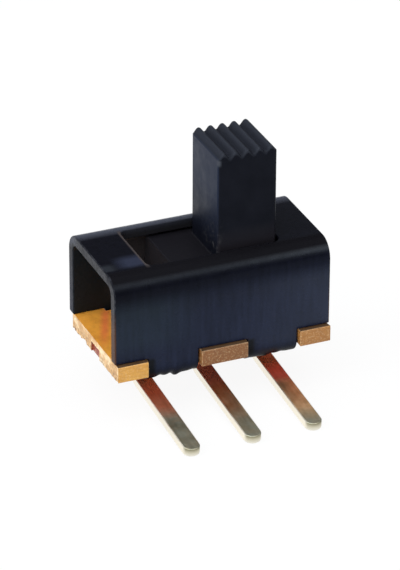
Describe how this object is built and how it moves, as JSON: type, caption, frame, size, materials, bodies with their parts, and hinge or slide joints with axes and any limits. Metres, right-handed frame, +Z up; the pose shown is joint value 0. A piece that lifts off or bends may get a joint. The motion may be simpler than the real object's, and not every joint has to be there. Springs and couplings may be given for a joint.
{
  "type": "slide switch",
  "caption": "Slide switch for a circuit board: ridged knob in a slotted frame of folded black steel on a phenolic base, with flat terminals bent forward.",
  "frame": {"origin": "where the middle terminal leaves the underside of the base", "axes": "+Z up to the knob, +X along the body, -Y the way the terminals point"},
  "size_m": [0.0106, 0.0095, 0.0122],
  "materials": {
    "frame": "satin black coating on steel sheet",
    "base": "amber phenolic laminate",
    "terminal": "plated, slightly tarnished",
    "slider": "black moulding, satin",
    "clip": "spring bronze"
  },
  "bodies": {
    "housing": {"frame": "frame", "base": "base", "terminal_left": "terminal", "terminal_common": "terminal", "terminal_right": "terminal"},
    "slider": {"slider": "slider", "contact_clip": "clip"}
  },
  "joints": [
    {"name": "knob_slide", "type": "slide", "parent": "housing", "child": "slider", "axis": [-1, 0, 0], "range_m": [0, 0.0034]}
  ]
}
